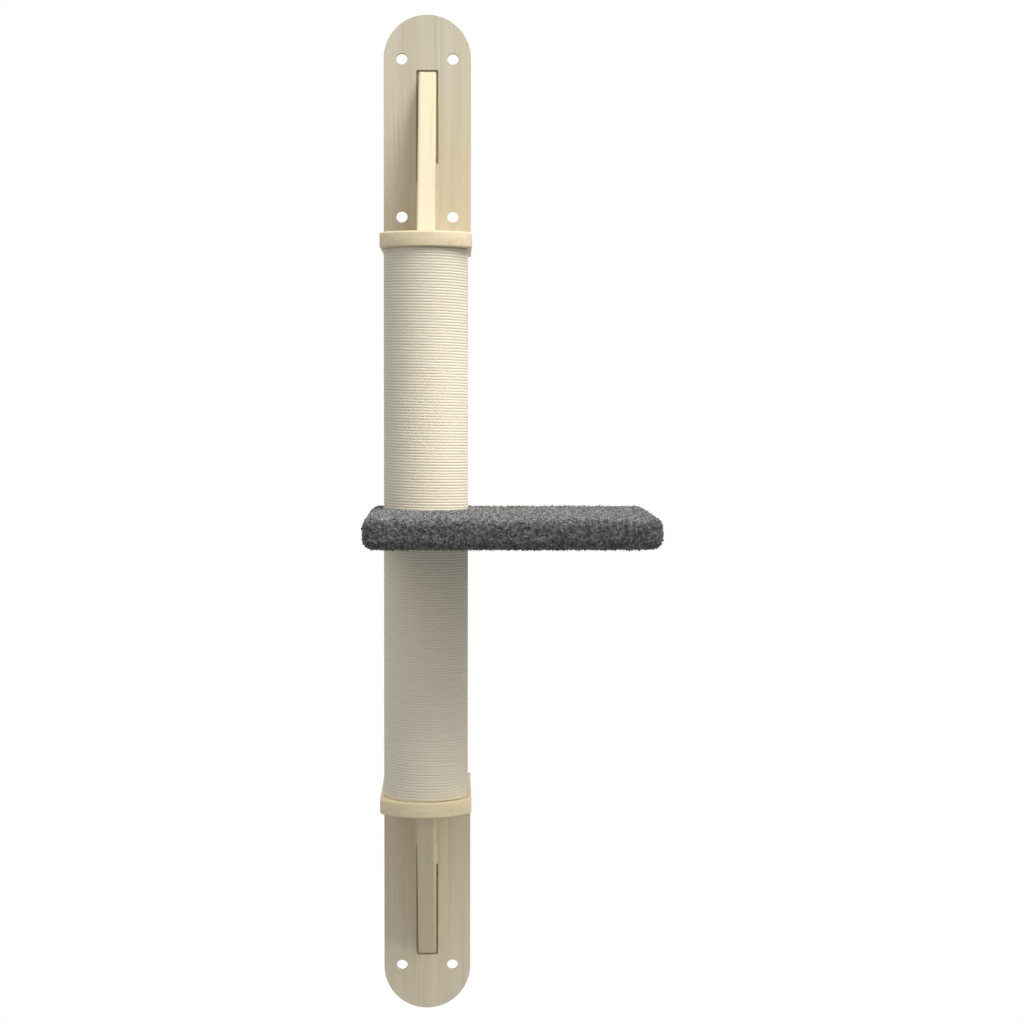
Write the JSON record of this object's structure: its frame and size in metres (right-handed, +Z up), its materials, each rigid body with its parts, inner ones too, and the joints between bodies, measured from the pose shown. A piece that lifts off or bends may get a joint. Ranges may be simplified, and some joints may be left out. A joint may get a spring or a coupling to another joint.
{
  "type": "wall mounted cat tree",
  "caption": "Wall mounted cat tree: wooden wall brackets hold an upright cord-wound scratching post, with an oblong plush platform clamped at its middle.",
  "frame": {"origin": "centre of the upper wall plate's four screw holes, on the wall", "axes": "+Z up along the post, +Y into the wall, +X along the wall towards the platform's long side"},
  "size_m": [0.308, 0.297, 1.15],
  "materials": {
    "pale_wood": "satin",
    "plug_wood": "matte",
    "board_wood": "matte",
    "cardboard": "matte",
    "cord": "matte",
    "grey_plush": "matte",
    "screw_steel": "satin",
    "zinc_steel": "satin"
  },
  "bodies": {
    "root": {"upper_wall_plate": "pale_wood", "upper_post_shelf": "pale_wood", "upper_gusset": "pale_wood", "upper_gusset_wedge": "pale_wood", "upper_shelf_screws": "screw_steel", "upper_gusset_back_screws": "screw_steel", "upper_gusset_foot_screws": "screw_steel", "upper_post_screws": "screw_steel", "upper_shelf_dowels": "plug_wood", "upper_post_core": "cardboard", "upper_shelf_plug": "plug_wood", "upper_platform_plug": "plug_wood", "upper_insert_nut": "zinc_steel", "upper_cord_winding": "cord", "lower_wall_plate": "pale_wood", "lower_post_shelf": "pale_wood", "lower_gusset": "pale_wood", "lower_gusset_wedge": "pale_wood", "lower_shelf_screws": "screw_steel", "lower_gusset_back_screws": "screw_steel", "lower_gusset_foot_screws": "screw_steel", "lower_post_screws": "screw_steel", "lower_shelf_dowels": "plug_wood", "lower_post_core": "cardboard", "lower_shelf_plug": "plug_wood", "lower_platform_plug": "plug_wood", "lower_insert_nut": "zinc_steel", "lower_cord_winding": "cord", "platform_board": "board_wood", "plush_cover": "grey_plush", "cover_staples": "zinc_steel", "centre_stud": "zinc_steel"}
  },
  "joints": []
}
